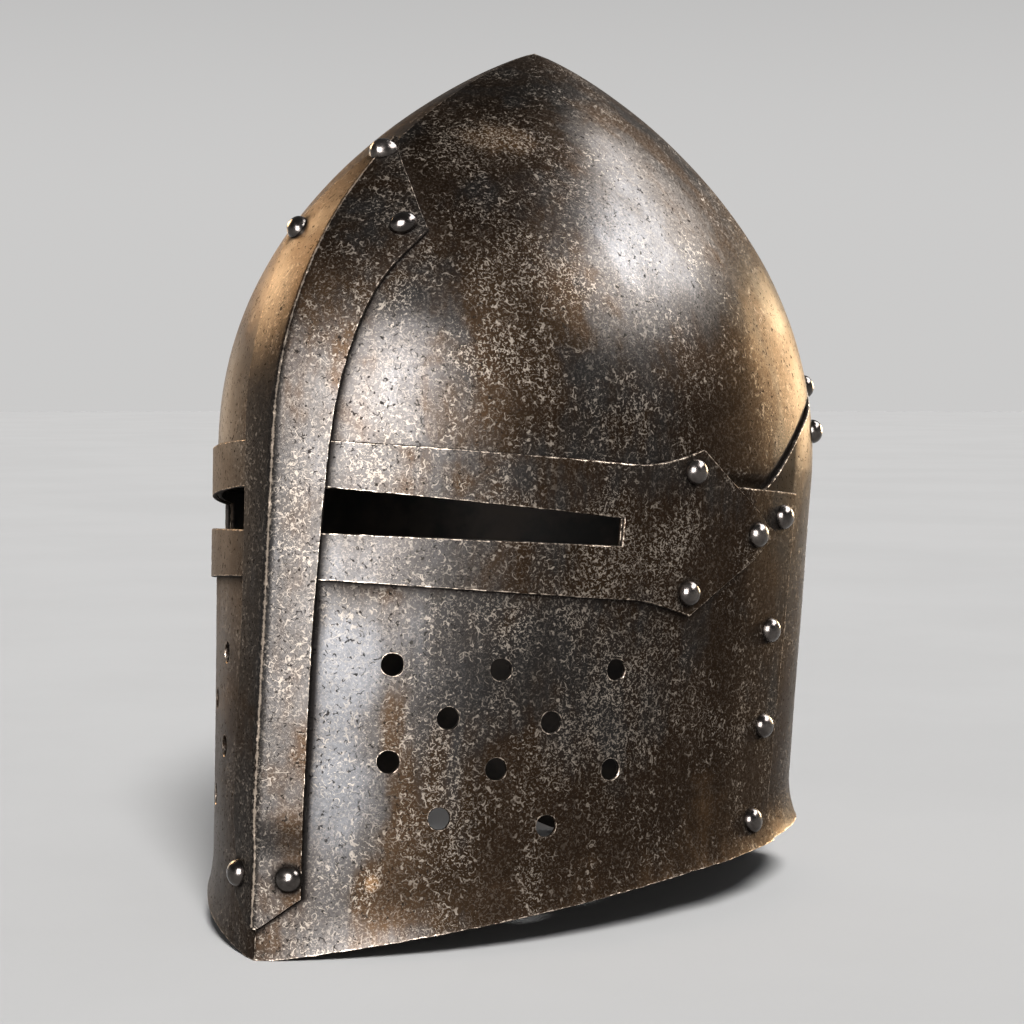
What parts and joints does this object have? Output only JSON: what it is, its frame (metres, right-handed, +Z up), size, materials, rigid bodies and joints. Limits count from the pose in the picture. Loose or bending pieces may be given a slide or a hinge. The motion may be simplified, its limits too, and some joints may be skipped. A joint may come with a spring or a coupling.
{
  "type": "sugarloaf helm",
  "caption": "Pointed full-face steel helm with a level sight bar, keel strip, breaths and riveted plates, standing on its chin and nape.",
  "frame": {"origin": "middle of the object's box, on the ground", "axes": "+X to the wearer's left, +Y to the back of the helm, +Z up; the keel faces -Y"},
  "size_m": [0.2386, 0.2952, 0.3449],
  "materials": {
    "aged_steel": "dark aged sheet steel browned in patches, semi-gloss, with fine light scratches and worn edges",
    "trim_steel": "dark aged strip steel, semi-gloss, with bright worn edges",
    "rivet_steel": "polished dark domed heads"
  },
  "bodies": {
    "root": {"back_plate": "aged_steel", "bar_rivet_left_1": "rivet_steel", "bar_rivet_left_2": "rivet_steel", "bar_rivet_left_3": "rivet_steel", "bar_rivet_right_1": "rivet_steel", "bar_rivet_right_2": "rivet_steel", "bar_rivet_right_3": "rivet_steel", "crown": "aged_steel", "face_plate": "aged_steel", "keel_rivet_1": "rivet_steel", "keel_rivet_2": "rivet_steel", "keel_rivet_3": "rivet_steel", "keel_rivet_4": "rivet_steel", "keel_rivet_5": "rivet_steel", "keel_strip": "trim_steel", "nape_rivet_left_1": "rivet_steel", "nape_rivet_left_2": "rivet_steel", "nape_rivet_left_3": "rivet_steel", "nape_rivet_left_4": "rivet_steel", "nape_rivet_right_1": "rivet_steel", "nape_rivet_right_2": "rivet_steel", "nape_rivet_right_3": "rivet_steel", "nape_rivet_right_4": "rivet_steel", "seam_rivet_left_1": "rivet_steel", "seam_rivet_left_2": "rivet_steel", "seam_rivet_left_3": "rivet_steel", "seam_rivet_left_4": "rivet_steel", "seam_rivet_right_1": "rivet_steel", "seam_rivet_right_2": "rivet_steel", "seam_rivet_right_3": "rivet_steel", "seam_rivet_right_4": "rivet_steel", "sight_bar": "trim_steel"}
  },
  "joints": []
}
